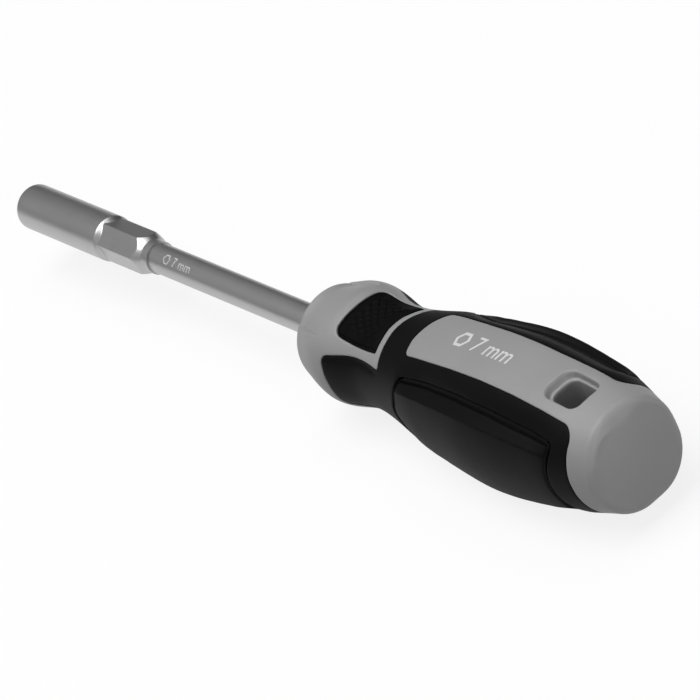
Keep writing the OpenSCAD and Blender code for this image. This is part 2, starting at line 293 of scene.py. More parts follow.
# borders of the grips: place behind the front, degrees from the top, corner radius;
# each runs past the middle planes by the margin, so that what is cut there has no edge of its own
margin = 8.0
borders = {
    "pad": [(15.4, -margin, 0), (15.4, 36.6, 2.5), (22, 40.4, 20), (26.5, 40.6, 20), (30.6, 39.2, 0.7),
            (30.2, 22, 10), (29.5, 8, 10), (29.5, -margin, 0)],
    "collar": [(31.4, -margin, 0), (31.4, 8, 12), (32.3, 26, 20), (33.0, 53.4, 0.5), (28, 51.5, 25),
               (24, 50.9, 25), (20.5, 52.6, 25), (16.4, 56.8, 12), (13.1, 59.8, 2.2), (13, 90 + margin, 0)],
    "window": [(40.7, -margin, 0), (40.8, 13, 15), (42.7, 29.6, 1.8), (47, 28.6, 30), (60, 26.5, 60),
               (71, 25.8, 60), (82, 26.4, 60), (92, 28.6, 40), (101.9, 32.2, 3.2), (101.3, 64, 20),
               (100.9, 82, 20), (100.9, 90 + margin, 0)],
    "panel": [(38.3, 90 + margin, 0), (38.35, 85, 6), (40.7, 70, 12), (42.2, 57, 10), (44.0, 47.4, 1.5),
              (54, 43.7, 40), (65, 42.4, 60), (76, 43.4, 60), (90, 47.2, 40), (97.4, 50.2, 0.9),
              (97.0, 60, 20), (96.0, 74, 20), (95.4, 85, 15), (95.3, 90 + margin, 0)],
    "hole": [(99.4, -margin, 0), (99.4, 18.6, 2.2), (88.7, 17.2, 2.4), (88.7, -margin, 0)],
}
sheetCell = {"x": 0.5, "y": arcPerDegree * 90 / 40, "clear": 0.5}
# lines: step, share of a side that a corner may take, largest turn and least length of a step
lineStep = {"length": 0.4, "corner": 0.49, "turn": 0.26, "least": 1e-4}
# points this close count as one: three on the sheets in mm, three on the pieces in metres
close = {"sheet": 1e-3, "fold": 1e-4, "cut": 2e-3, "wrapped": 1e-6, "ring": 2e-5, "bar": 1e-7}


def onSheet(points):
    return [(place, angle * arcPerDegree, radius) for place, angle, radius in points]


def trace(points, closed=False):
    # polyline through the points with each corner rounded by its radius
    step, most, least = lineStep["length"], lineStep["corner"], lineStep["least"]
    spots = [Vector(p[:2]) for p in points]
    count, line = len(spots), []
    for i, (corner, point) in enumerate(zip(spots, points)):
        if not closed and i in (0, count - 1):
            line.append(corner)
            continue
        before, after = spots[i - 1], spots[(i + 1) % count]
        toBefore, toAfter = before - corner, after - corner
        half = toBefore.angle(toAfter) / 2
        reach = min(point[2] / tan(half), most * toBefore.length, most * toAfter.length)
        radius = reach * tan(half)
        if radius < least:
            line.append(corner)
            continue
        middle = corner + (toBefore.normalized() + toAfter.normalized()).normalized() * (radius / sin(half))
        start = corner + toBefore.normalized() * reach - middle
        sweep = (pi - 2 * half) * (1 if toBefore.cross(toAfter) < 0 else -1)
        parts = max(2, int(radius * abs(sweep) / step + 0.5), int(abs(sweep) / lineStep["turn"]))
        line += [middle + Matrix.Rotation(sweep * k / parts, 2) @ start for k in range(parts + 1)]
    filled = []
    for i, spot in enumerate(line):
        ahead = line[(i + 1) % len(line)]
        filled.append(spot)
        if closed or i < len(line) - 1:
            parts = max(1, int((ahead - spot).length / step + 0.5))
            filled += [spot.lerp(ahead, k / parts) for k in range(1, parts)]
    kept = [filled[0]] + [b for a, b in zip(filled, filled[1:]) if (b - a).length > least]
    return np.array([tuple(spot) for spot in kept])


def clearInside(points, loop, clear):
    # which points lie inside the closed line, and clear of it
    after = np.roll(loop, -1, 0)
    x, y = points[:, :1], points[:, 1:]
    run = after - loop
    crosses = (loop[:, 1] > y) != (after[:, 1] > y)
    rise = np.where(run[:, 1] == 0, 1e-12, run[:, 1])
    hits = crosses & (x < loop[:, 0] + (y - loop[:, 1]) / rise * run[:, 0])
    share = ((x - loop[:, 0]) * run[:, 0] + (y - loop[:, 1]) * run[:, 1]) / (run**2).sum(1)
    share = np.clip(share, 0, 1)
    gaps = np.hypot(x - loop[:, 0] - share * run[:, 0], y - loop[:, 1] - share * run[:, 1])
    return (hits.sum(1) % 2 == 1) & (gaps.min(1) > clear)


def faceOut(bm):
    bmesh.ops.recalc_face_normals(bm, faces=bm.faces[:])


def flip(bm):
    bmesh.ops.reverse_faces(bm, faces=bm.faces[:])


def weld(bm, dist):
    bmesh.ops.remove_doubles(bm, verts=bm.verts[:], dist=dist)


def whole(bm):
    return bm.verts[:] + bm.edges[:] + bm.faces[:]


def vertsOf(geom):
    return [g for g in geom if isinstance(g, bmesh.types.BMVert)]


def edgesOf(geom):
    return [g for g in geom if isinstance(g, bmesh.types.BMEdge)]


def cutSheet(loop, cellX, cellY, clear, turn=0.0):
    # flat sheet cut to a closed line: a grid inside, triangles between the grid and the line
    bm = bmesh.new()
    low, high = loop.min(0), loop.max(0)
    reach = max(high - low) if turn else 0
    first = np.floor((low - reach / 4) / (cellX, cellY)).astype(int)
    last = np.ceil((high + reach / 4) / (cellX, cellY)).astype(int)
    size = (last - first) * (cellX, cellY)
    middle = (first + last) / 2 * (cellX, cellY)
    place = Matrix.Translation((*middle, 0)) @ Matrix.Rotation(turn, 4, "Z") @ Matrix.Diagonal((*size, 1, 1))
    counts = last - first
    bmesh.ops.create_grid(bm, x_segments=int(counts[0]), y_segments=int(counts[1]), size=0.5, matrix=place)
    keep = clearInside(np.array([v.co[:2] for v in bm.verts]), loop, clear)
    bmesh.ops.delete(bm, geom=[v for v, kept in zip(bm.verts[:], keep) if not kept], context="VERTS")
    pinched = [None]
    while pinched:  # cells that hang on by one corner would stop the fill
        pinched = [v for v in bm.verts if not v.link_faces or sum(e.is_boundary for e in v.link_edges) > 2]
        bmesh.ops.delete(bm, geom=pinched, context="VERTS")
    rim = [e for e in bm.edges if e.is_boundary]
    verts = [bm.verts.new((*spot, 0)) for spot in loop]
    rim += [bm.edges.new((verts[i - 1], verts[i])) for i in range(len(verts))]
    bmesh.ops.triangle_fill(bm, edges=rim, use_beauty=True, use_dissolve=False, normal=(0, 0, 1))
    faceOut(bm)
    if sum(f.normal.z for f in bm.faces) < 0:
        flip(bm)
    return bm


def stepIn(bm, faces, width, rise, merge=0.0):
    # one ring inwards from the border of the faces; points of the new border that close up are merged
    ring = bmesh.ops.inset_region(
        bm, faces=faces, use_boundary=True, use_even_offset=True, thickness=width, depth=rise)["faces"]
    if not merge:
        return faces
    inner = {v for f in ring for v in f.verts} & {v for f in faces for v in f.verts}
    bmesh.ops.remove_doubles(bm, verts=list(inner), dist=merge)
    return [f for f in faces if f.is_valid]


def shapeEdge(bm, steps, merge=0.0):
    # steps inwards from the border: width of the step and rise over it
    faces = bm.faces[:]
    for width, rise in steps:
        faces = stepIn(bm, faces, width, rise, merge)


def rolled(radius):
    # quarter round in three steps
    return [(0.134 * radius, 0.5 * radius), (0.366 * radius, 0.366 * radius), (0.5 * radius, 0.134 * radius)]


def shrink(bm, gap):
    # takes a strip off along the border
    ring = bmesh.ops.inset_region(
        bm, faces=bm.faces[:], use_boundary=True, use_even_offset=True, thickness=gap)["faces"]
    bmesh.ops.delete(bm, geom=ring, context="FACES")


def lift(bm, height):
    bmesh.ops.translate(bm, verts=bm.verts[:], vec=(0, 0, height))


def trimSheet(bm, *planes):
    for spot, normal in planes:
        bmesh.ops.bisect_plane(
            bm, geom=whole(bm), dist=close["fold"], plane_co=spot, plane_no=normal,
            clear_outer=True, use_snap_center=False)


sideArc = 90 * arcPerDegree
topPlane = ((0, 0, 0), (0, -1, 0))
sidePlane = ((0, sideArc, 0), (0, 1, 0))


def dropWalls(bm, edges, depth):
    for v in vertsOf(bmesh.ops.extrude_edge_only(bm, edges=edges)["geom"]):
        v.co.z = depth


def outlineEdges(bm, cuts):
    # border edges that don't lie on the lines where the sheet was trimmed: axis and value of each
    def onCut(edge):
        return any(all(abs(v.co[axis] - value) < close["cut"] for v in edge.verts) for axis, value in cuts)
    return [e for e in bm.edges if e.is_boundary and not onCut(e)]


def gather(sheets):
    bm = bmesh.new()
    for sheet in sheets:
        mesh = bpy.data.meshes.new("sheet")
        sheet.to_mesh(mesh)
        sheet.free()
        bm.from_mesh(mesh)
        bpy.data.meshes.remove(mesh)
    weld(bm, close["sheet"])
    return bm


def reflect(bm, axis, value):
    # the sheet and its mirror image, joined where they meet
    copy = bmesh.ops.duplicate(bm, geom=whole(bm))["geom"]
    for v in vertsOf(copy):
        v.co[axis] = 2 * value - v.co[axis]
    bmesh.ops.reverse_faces(bm, faces=[g for g in copy if isinstance(g, bmesh.types.BMFace)])
    near = [v for v in bm.verts if abs(v.co[axis] - value) < close["sheet"]]
    bmesh.ops.remove_doubles(bm, verts=near, dist=close["sheet"])


def wrapSheet(bm, relief=None, turn=0.0, reliefDepth=-0.9):
    # from the flat sheet to the handle: x is the place, y the arc and z the depth;
    # the relief moves only what lies above its depth, not the floors
    for v in bm.verts:
        place, arc, depth = v.co
        angle = arc / arcPerDegree
        if relief and depth > reliefDepth:
            depth += relief(place, foldAngle(angle))
        v.co = handlePoint(place, angle + turn, depth)


def thicken(bm, depth):
    # closed piece: a copy of the sheet, flattened at the given depth, joined by walls
    lower = vertsOf(bmesh.ops.extrude_face_region(bm, geom=bm.faces[:], use_keep_orig=True)["geom"])
    for v in lower:
        v.co.z = depth
    bmesh.ops.remove_doubles(bm, verts=lower, dist=close["fold"])


def addPiece(name, bm, finish, node=None, sharp=38.0):
    if bm.calc_volume(signed=True) < 0:
        flip(bm)
    mesh = bpy.data.meshes.new(name)
    bm.to_mesh(mesh)
    bm.free()
    mesh.polygons.foreach_set("use_smooth", [True] * len(mesh.polygons))
    mesh.set_sharp_from_angle(angle=radians(sharp))
    mesh.materials.append(finish)
    piece = bpy.data.objects.new(name, mesh)
    scene.collection.objects.link(piece)
    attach(piece, "root")
    if node:
        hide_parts(node)
    print(name, "has", len(mesh.polygons), "faces")


def smoothStep(low, high, value):
    u = min(1.0, max(0.0, (value - low) / (high - low)))
    return u * u * (3 - 2 * u)


def spanStep(span, value):
    # up over the first two values of the span, and down over the last two
    return smoothStep(*span[:2], value) * (1 - smoothStep(*span[2:], value))


lines = {name: trace(onSheet(points)) for name, points in borders.items()}
sheetLow, sheetHigh = -margin * arcPerDegree, sideArc + margin * arcPerDegree
cell = (sheetCell["x"], sheetCell["y"], sheetCell["clear"])
fineCell = (sheetCell["x"] / 2, sheetCell["y"] / 2, sheetCell["clear"])

# hard grey body: collar, strips round the pads, windows and butt, with pockets for the grips
bodyShape = {
    "roll": 0.28, "sleeveDepth": -2.2, "padDepth": -1.6, "rearTrim": 105.8,
    "facetDepth": 1.0, "facetEnd": 13.2, "facetArc": 9.8, "facetCorner": 3.0, "facetStep": 0.45,
    "facetFade": 0.45, "fadeStart": 6, "facetRun": (-0.5, 3.0), "sheetSpan": (-1, 107.5), "rimRings": 6,
    "padPast": 0.3, "padSide": 45,  # edges this far behind the pads and round are theirs
    "holeFront": 86, "holeSide": 22,  # edges behind this and this far round are the hole's
    "holeStart": 89.9, "holeEnd": 98.5, "holeHalf": 3.5,
    # share of the way from the border to the hole's walls, and depth below the window
    "holeRings": [(0.04, 0.04), (0.09, 0.15), (0.15, 0.45), (0.21, 0.8), (0.28, 1.15), (0.36, 1.35),
                  (0.5, 1.43), (0.66, 1.47), (0.8, 1.5), (0.9, 1.57), (0.96, 1.7), (1.0, 2.0), (1.0, 3.2)],
    # place behind the front and radius of the front face, the shaft's bore and the room for the core
    "cavity": [(0, 9.4), (0, 7.5), (0, 5.4), (0, 4.1), (0.06, 3.75), (0.25, 3.55), (7.95, 3.55), (7.95, 7.35),
               (44, 7.35), (54, 10.25), (80.05, 10.25), (80.05, 5)],
}


def collarRelief(place, angle):
    # the collar's top and bottom facets lie a little lower than its sides
    shape = bodyShape
    if place > shape["facetEnd"] + 1:
        return 0.0
    corner = shape["facetCorner"]
    overX = place - (shape["facetEnd"] - corner)
    overY = angle * arcPerDegree - (shape["facetArc"] - corner)
    outside = hypot(max(overX, 0), max(overY, 0)) + min(max(overX, overY), 0) - corner
    fade = 1 - shape["facetFade"] * smoothStep(shape["fadeStart"], shape["facetEnd"], place)
    step = smoothStep(0, shape["facetStep"], -outside)
    return -shape["facetDepth"] * fade * step * smoothStep(*shape["facetRun"], place)


def makeBody():
    shape = bodyShape
    front = handleForm["rimRound"]
    first, last = shape["sheetSpan"]
    collar = np.vstack([[(first, sheetLow)], lines["pad"], lines["collar"], [(first, sheetHigh)]])
    window = np.vstack([lines["window"], [(last, sheetHigh), (last, sheetLow)], lines["hole"]])
    under = np.vstack([lines["collar"][::-1], lines["window"]])
    collarSheet, windowSheet = cutSheet(collar, *fineCell), cutSheet(window, *cell)
    sleeveFloor, padSheet = cutSheet(under, *cell), cutSheet(lines["pad"], *cell)
    for sheet in (collarSheet, windowSheet):
        lift(sheet, -shape["roll"])
        shapeEdge(sheet, rolled(shape["roll"]))
    lift(sleeveFloor, shape["sleeveDepth"])
    lift(padSheet, shape["padDepth"])
    trimSheet(collarSheet, ((front, 0, 0), (-1, 0, 0)), topPlane, sidePlane)
    trimSheet(windowSheet, ((shape["rearTrim"], 0, 0), (1, 0, 0)), topPlane, sidePlane)
    trimSheet(sleeveFloor, topPlane, sidePlane)
    trimSheet(padSheet, topPlane, sidePlane)
    cuts = [(1, 0), (1, sideArc), (0, front), (0, shape["rearTrim"])]
    edges = outlineEdges(collarSheet, cuts)
    padEnd = max(p[0] for p in borders["pad"]) + shape["padPast"]
    padArc = shape["padSide"] * arcPerDegree
    isPad = [all(v.co.x < padEnd and v.co.y < padArc for v in e.verts) for e in edges]
    dropWalls(collarSheet, [e for e, pad in zip(edges, isPad) if pad], shape["padDepth"])
    dropWalls(collarSheet, [e for e, pad in zip(edges, isPad) if not pad], shape["sleeveDepth"])
    holeArc = shape["holeSide"] * arcPerDegree
    edges = outlineEdges(windowSheet, cuts)
    plain = [e for e in edges if any(v.co.x <= shape["holeFront"] or v.co.y >= holeArc for v in e.verts)]
    dropWalls(windowSheet, plain, shape["sleeveDepth"])
    bm = gather([collarSheet, windowSheet, sleeveFloor, padSheet])
    reflect(bm, 1, 0)
    reflect(bm, 1, sideArc)
    wrapSheet(bm, collarRelief)
    weld(bm, close["wrapped"])
    return bm


def ringOut(bm, edges, move):
    # one more ring of faces along a border; move gives the new place of each of its points
    made = bmesh.ops.extrude_edge_only(bm, edges=edges)["geom"]
    for v in vertsOf(made):
        v.co = move(v.co)
    return edgesOf(made)


def radialTo(place, radius):
    def move(spot):
        share = radius * mm / hypot(spot.y, spot.z)
        return Vector((place * mm, spot.y * share, spot.z * share))
    return move


def borderAt(bm, place):
    near = close["ring"]
    return [e for e in bm.edges if e.is_boundary and all(abs(v.co.x - place * mm) < near for v in e.verts)]


# the butt bends in to an edge, crisper between the windows and the sides, and ends in a shallow dome
buttShape = {
    "bend": 1.6, "slope": 0.15, "steep": 1.1, "edge": 2.0, "crisp": 0.7, "soft": 3.4, "before": 0.6,
    "crispSpan": (0, 38, 54, 86), "fuller": (0.3, 0.45), "stripRings": 6, "edgeRings": 8, "faceRings": 8,
}


def stripRadius(outer, along):
    # distance from the axis between the start of the butt and its edge
    shape = buttShape
    bent = min(along, shape["bend"])
    turned = (shape["steep"] - shape["slope"]) / 2 / shape["bend"]
    return outer - shape["slope"] * bent - turned * bent**2 - shape["steep"] * max(0.0, along - shape["bend"])


def buttSpot(ring, angle):
    # place behind the start of the butt, and distance from the axis
    shape = buttShape
    crisp = spanStep(shape["crispSpan"], angle)
    reach = shape["soft"] + (shape["crisp"] - shape["soft"]) * crisp
    outer = handleRadius(bodyShape["rearTrim"], angle, 0)
    edge = stripRadius(outer, shape["edge"])
    length = handleForm["length"] - bodyShape["rearTrim"]

    def facePlace(radius):
        return length - (length - shape["edge"]) * (radius / edge) ** 2

    before = shape["edge"] - shape["before"] * reach
    if ring < shape["stripRings"]:
        along = before * (ring + 1) / shape["stripRings"]
        return along, stripRadius(outer, along)
    ring -= shape["stripRings"]
    inner = edge - reach
    if ring < shape["edgeRings"]:
        u = (ring + 1) / shape["edgeRings"]
        weights = ((1 - u) ** 2, 2 * u * (1 - u), u * u)
        corner = [size * (1 - crisp / 2) for size in shape["fuller"]]
        places = before, shape["edge"] + corner[0], facePlace(inner)
        radii = stripRadius(outer, before), edge + corner[1], inner
        return np.dot(weights, places), np.dot(weights, radii)
    radius = inner * (1 - (ring - shape["edgeRings"] + 1) / (shape["faceRings"] + 1))
    return facePlace(radius), radius


def buttRing(ring):
    def move(spot):
        angle = degrees(np.arctan2(-spot.y, spot.z))
        place, radius = buttSpot(ring, foldAngle(angle))
        x = handleForm["front"] + bodyShape["rearTrim"] + place
        return Vector((x, -radius * sin(radians(angle)), radius * cos(radians(angle)))) * mm
    return move


def finishBody(bm):
    shape, start = bodyShape, handleForm["front"]
    rim, rimRings = handleForm["rimRound"], shape["rimRings"]

    def rimRing(place):
        def move(spot):
            angle = degrees(np.arctan2(-spot.y, spot.z))
            return handlePoint(place, angle, collarRelief(place, foldAngle(angle)))
        return move

    edges = borderAt(bm, start + rim)  # front rim, front face and the cavity for the core
    for k in range(rimRings):
        edges = ringOut(bm, edges, rimRing(rim * (1 - sin(pi / 2 * (k + 1) / rimRings))))
    for place, radius in shape["cavity"]:
        edges = ringOut(bm, edges, radialTo(start + place, radius))
    bmesh.ops.contextual_create(bm, geom=edges)
    edges = borderAt(bm, start + shape["rearTrim"])  # domed butt
    for k in range(sum(buttShape[part] for part in ("stripRings", "edgeRings", "faceRings"))):
        edges = ringOut(bm, edges, buttRing(k))
    bmesh.ops.contextual_create(bm, geom=edges)


def boreHole(bm):
    # hanging hole: sunk border, rounded lip and straight walls to the middle plane
    shape = bodyShape
    spots = np.array(borders["hole"])
    startX, endX = spots[:, 0].min(), spots[:, 0].max()
    half = max(abs(v.co.y) for e in bm.edges if e.is_boundary for v in e.verts) / mm
    scaleX = (shape["holeEnd"] - shape["holeStart"]) / (endX - startX)
    for side in (1, -1):
        edges = [e for e in bm.edges if e.is_boundary and all(v.co.z * side > 0 for v in e.verts)]
        first = {v: v.co.copy() for e in edges for v in e.verts}
        current = {v: v for v in first}
        for share, sink in shape["holeRings"] + [(1.0, None)]:
            made = bmesh.ops.extrude_edge_only(bm, edges=edges)["geom"]
            edges = edgesOf(made)
            origin = {v: k for k, v in current.items()}
            current = {}
            for v in vertsOf(made):
                root = next(origin[e.other_vert(v)] for e in v.link_edges if e.other_vert(v) in origin)
                base = first[root]
                inX = (handleForm["front"] + shape["holeStart"]) * mm
                inX += (base.x - (handleForm["front"] + startX) * mm) * scaleX
                inY = base.y * shape["holeHalf"] / half
                v.co.x, v.co.y = base.x + (inX - base.x) * share, base.y + (inY - base.y) * share
                v.co.z = 0.0 if sink is None else base.z - side * sink * mm
                current[root] = v
    weld(bm, close["wrapped"])


body = makeBody()
finishBody(body)
boreHole(body)
faceOut(body)
print("open edges in the body:", sum(not e.is_manifold for e in body.edges))
addPiece("handleBody", body, greyPlastic, "handle_body")

# soft sleeve: side scoops, full ring and the strips beside the windows, with seats for the panels
sleeveShape = {
    "roll": 0.3, "seatDepth": -2.0, "inside": -2.2, "seatSpan": (37.5, 98.5), "seatSide": 41,
    "dip": 0.3, "dipWidth": 0.6, "dipReach": 2.2, "dipEnd": 33.0, "dipSide": (44, 51, 58, 66),
    "fall": 1.25, "fallPower": 1.4, "fallSpan": (41, 52, 91, 99), "fallPast": 12,
    "stripSpan": (42.5, 102), "stripSide": 51,
}


def borderAngle(name, place):
    # degrees from the top at which a border runs along the handle
    start, end = sleeveShape["stripSpan"]
    spots = [(x, y) for x, y, radius in borders[name] if start < x < end and y < sleeveShape["stripSide"]]
    return float(np.interp(place, *zip(*spots)))


def stripFall(place, angle):
    # the strips fall from the windows to the panels
    shape = sleeveShape
    top, side = borderAngle("window", place), borderAngle("panel", place)
    along = spanStep(shape["fallSpan"], place)
    across = min(1.0, max(0.0, (angle - top) / (side - top))) ** shape["fallPower"]
    return shape["fall"] * along * across * (1 - smoothStep(side, side + shape["fallPast"], angle))


def sleeveRelief(place, angle):
    # the scoops drop a little behind their upper border with the collar, and the strips fall to the panels
    shape = sleeveShape
    if place > shape["dipEnd"] + 2:
        return -stripFall(place, angle)
    spot = np.array((place, angle * arcPerDegree))
    away = np.hypot(*(lines["collar"] - spot).T).min()
    side = spanStep(shape["dipSide"], angle)
    side *= 1 - smoothStep(shape["dipEnd"] - 3, shape["dipEnd"] + 1, place)
    hollow = spanStep((0, shape["dipWidth"], shape["dipWidth"], shape["dipReach"]), away)
    return -shape["dip"] * hollow * side


def makeSleeve():
    shape = sleeveShape
    outside = np.vstack([lines["collar"][::-1], lines["window"], lines["panel"][::-1]])
    sheet, seat = cutSheet(outside, *cell), cutSheet(lines["panel"], *cell)
    lift(sheet, -shape["roll"])
    shapeEdge(sheet, rolled(shape["roll"]))
    lift(seat, shape["seatDepth"])
    trimSheet(sheet, topPlane, sidePlane)
    trimSheet(seat, topPlane, sidePlane)
    edges = outlineEdges(sheet, [(1, 0), (1, sideArc)])
    start, end = shape["seatSpan"]
    arc = shape["seatSide"] * arcPerDegree
    seatEdges = [e for e in edges if all(start < v.co.x < end and v.co.y > arc for v in e.verts)]
    dropWalls(sheet, seatEdges, shape["seatDepth"])
    bm = gather([sheet, seat])
    reflect(bm, 1, 0)
    reflect(bm, 1, sideArc)
    thicken(bm, shape["inside"])
    seam = (-sideArc, 3 * sideArc)
    near = close["cut"]
    ends = [f for f in bm.faces if any(all(abs(v.co.y - y) < near for v in f.verts) for y in seam)]
    bmesh.ops.delete(bm, geom=ends, context="FACES")
    wrapSheet(bm, sleeveRelief)
    weld(bm, close["wrapped"])
    faceOut(bm)
    return bm


sleeve = makeSleeve()
print("open edges in the sleeve:", sum(not e.is_manifold for e in sleeve.edges))
addPiece("gripSleeve", sleeve, blackGrip, "grip_sleeve")

# raised side panels: a bead and a groove along their edges, then a bevel that rises to a ridge
panelShape = {
    "gap": 0.04, "inside": -1.95, "floor": -1.9, "clear": 1.75, "merge": 0.1, "cell": 0.24,
    "rise": 0.25, "face": -0.1, "middle": 67.5, "halfLength": 29.0,
    "bevelStart": 2.5, "ridge": 57.6, "ridgeBow": 5.0,
    "softFront": 0.1, "softRear": 0.3, "hollowFront": 0.6, "hollowRear": 0.2,
    "fadeStart": 50.0, "fadeEnd": 92.0, "endCorner": (47, 50), "sharp": 24.0,
    # width of each step inwards, and its depth below the face along the sides and round the ends
    "start": (-0.1, -1.3),
    "border": [(0.08, -0.03, -1.3), (0.22, 0.0, -1.28), (0.14, 0.0, -0.3), (0.12, -0.03, -0.12),
               (0.08, -0.28, -0.06), (0.08, -0.56, -0.05), (0.22, -0.6, -0.04), (0.08, -0.42, -0.03),
               (0.08, -0.16, -0.02), (0.1, -0.04, -0.01), (0.12, 0.0, 0.0)],
    "endSpan": (0.6, 1.4),
}


def softMin(a, b, blend):
    meet = max(0.0, blend - abs(a - b)) / blend
    return min(a, b) - meet * meet * blend / 4


def panelRelief(place, angle):
    # height of the panel's face: the lower of the hollow bevel, which rises to the ridge, and the round side
    shape = panelShape
    bow = ((place - shape["middle"]) / shape["halfLength"]) ** 2
    border = borderAngle("panel", place)
    start, ridge = border + shape["bevelStart"], shape["ridge"] + shape["ridgeBow"] * bow
    rear = smoothStep(shape["fadeStart"], shape["fadeEnd"], place)
    across = max(0.0, (angle - start) / (ridge - start))
    hollow = shape["hollowFront"] + (shape["hollowRear"] - shape["hollowFront"]) * rear
    foot = -stripFall(place, border)
    bevel = foot + (shape["rise"] - foot) * (across + hollow * (across**4 - across))
    crest = handleRadius(place, ridge, shape["rise"])
    middle = handleRadius(place, 90, shape["face"])
    crestX = crest * sin(radians(ridge))
    centre = (crest**2 - middle**2) / 2 / (crestX - middle)
    sine, cosine = sin(radians(angle)), cos(radians(angle))
    side = centre * sine + sqrt((middle - centre) ** 2 - (centre * cosine) ** 2)
    base, raised = handleRadius(place, angle, 0), handleRadius(place, angle, shape["rise"])
    soft = shape["softFront"] + (shape["softRear"] - shape["softFront"]) * rear
    return softMin(bevel, shape["rise"] * (side - base) / (raised - base), soft)


def endPlace(end, angle):
    # place of the panel's front or rear border
    middle, corner = panelShape["middle"], panelShape["endCorner"][end]
    spots = [(y, x) for x, y, radius in borders["panel"] if (x > middle) == bool(end) and y > corner]
    return float(np.interp(angle, *zip(*sorted(spots))))


def makePanel(side):
    shape = panelShape
    half = onSheet(borders["panel"])[1:-1]
    mirrored = [(x, 2 * sideArc - y, r) for x, y, r in reversed(half)]
    bm = cutSheet(trace(half + mirrored, True), shape["cell"], shape["cell"], shape["clear"])
    shrink(bm, shape["gap"])

    def setDepth(verts, atSide, atEnd):
        for v in verts:
            angle = foldAngle(v.co.y / arcPerDegree)
            away = min(v.co.x - endPlace(0, angle), endPlace(1, angle) - v.co.x)
            v.co.z = atEnd + (atSide - atEnd) * smoothStep(*shape["endSpan"], away)

    setDepth(bm.verts, *shape["start"])
    faces = bm.faces[:]
    for width, atSide, atEnd in shape["border"]:
        faces = stepIn(bm, faces, width, 0.0, shape["merge"])
        setDepth({v for f in faces for v in f.verts}, atSide, atEnd)
    if side < 0:
        for v in bm.verts:
            v.co.y = -v.co.y
        flip(bm)
    thicken(bm, shape["inside"])
    wrapSheet(bm, panelRelief, reliefDepth=shape["floor"])
    faceOut(bm)
    return bm


addPiece("gripPanelLeft", makePanel(1), blackGrip, "grip_panel_left", panelShape["sharp"])
addPiece("gripPanelRight", makePanel(-1), blackGrip, "grip_panel_right", panelShape["sharp"])

# thumb pads: a smooth rim round a field of small diamonds
padShape = {
    "gap": 0.08, "inside": -1.6, "start": -0.4, "pitch": 1.8, "clear": 1.3, "merge": 0.08,
    "profile": [(0.06, 0.15), (0.5, 0.4), (0.12, 0.03), (0.1, -0.16), (0.1, 0.02), (0.12, 0.08)],
    "studInset": 0.28, "studRise": 0.18,
}


def makePad(turn):
    shape = padShape
    half = onSheet(borders["pad"])[1:-1]
    mirrored = [(x, -y, r) for x, y, r in reversed(half)]
    bm = cutSheet(trace(half + mirrored, True), shape["pitch"], shape["pitch"], shape["clear"], pi / 4)
    studs = [f for f in bm.faces if len(f.verts) == 4]
    shrink(bm, shape["gap"])
    lift(bm, shape["start"])
    shapeEdge(bm, shape["profile"], shape["merge"])
    studs = [f for f in studs if f.is_valid and len(f.verts) == 4]
    for rise in (shape["studRise"], shape["studRise"] / 3):
        bmesh.ops.inset_individual(
            bm, faces=studs, thickness=shape["studInset"], depth=rise, use_even_offset=True)
    thicken(bm, shape["inside"])
    wrapSheet(bm, None, turn)
    faceOut(bm)
    return bm


addPiece("thumbPadTop", makePad(0), blackPad, "thumb_pad_top")
addPiece("thumbPadBottom", makePad(180), blackPad, "thumb_pad_bottom")


def turnBar(profile, segments, closed=True):
    # bar turned about the blade's axis from places and radii
    bm = bmesh.new()
    verts = [bm.verts.new((place * mm, 0, radius * mm)) for place, radius in profile]
    pairs = zip(verts, verts[1:] + verts[:1]) if closed else zip(verts, verts[1:])
    edges = [bm.edges.new(pair) for pair in pairs]
    bmesh.ops.spin(
        bm, geom=verts + edges, cent=(0, 0, 0), axis=(1, 0, 0), dvec=(0, 0, 0), angle=2 * pi, steps=segments,
        use_merge=True, use_duplicate=False)
    weld(bm, close["bar"])
    faceOut(bm)
    return bm


# steel socket: round nose with a hexagon recess, a pressed hexagon that locks it on the shaft, and a shoulder
socketShape = {
    "nose": [(1.2, 5.45), (35.0, 5.45), (36.2, 4.5), (37.0, 3.9)],
    "rear": [(36.0, 5.12), (49.9, 5.12), (50.9, 4.68), (52.0, 4.15), (53.0, 3.78), (54.0, 3.6), (55.1, 3.53)],
    "flats": 9.0, "flatTurn": 7.0, "flatStart": 34.6, "flatEnd": 52.0, "edgeBlend": 0.12, "soften": 0.25,
    "recessFlats": 7.12, "boreRadius": 3.2, "boreEnd": 28.0, "boreBevel": 0.2, "seatRadius": 3.5,
    "mouthRound": 1.2, "mouthSteps": 8, "slack": 0.05, "segments": 192, "sharp": 30.0,
    # places of the rings along the outside: first, last and count of each run
    "runs": [(4, 34, 11), (34.5, 37.5, 31), (39, 48, 7), (49, 55.1, 50)],
    # from the recess's floor back to the mouth, where it opens in a bevel
    "recessLine": [(14.0, 3.6), (8, 3.6), (1.0, 3.6), (0.45, 3.7), (0.0, 4.2)],
}


def softLine(points, place):
    xs, rs = zip(*points)
    spots = [place + socketShape["soften"] * k / 3 for k in range(-3, 4)]
    return float(np.mean(np.interp(spots, xs, rs)))


def socketRadius(place, angle):
    # the nose's bevelled end runs out on the hexagon, and the shoulder cuts the hexagon's corners
    shape = socketShape
    nose, rear = softLine(shape["nose"], place), softLine(shape["rear"], place)
    if not shape["flatStart"] < place < shape["flatEnd"]:
        return max(nose, rear) if place > shape["flatEnd"] else nose
    flat = shape["flats"] / 2 / cos((angle - radians(shape["flatTurn"])) % (pi / 3) - pi / 6)
    return -softMin(-nose, -softMin(flat, rear, shape["edgeBlend"]), shape["edgeBlend"])


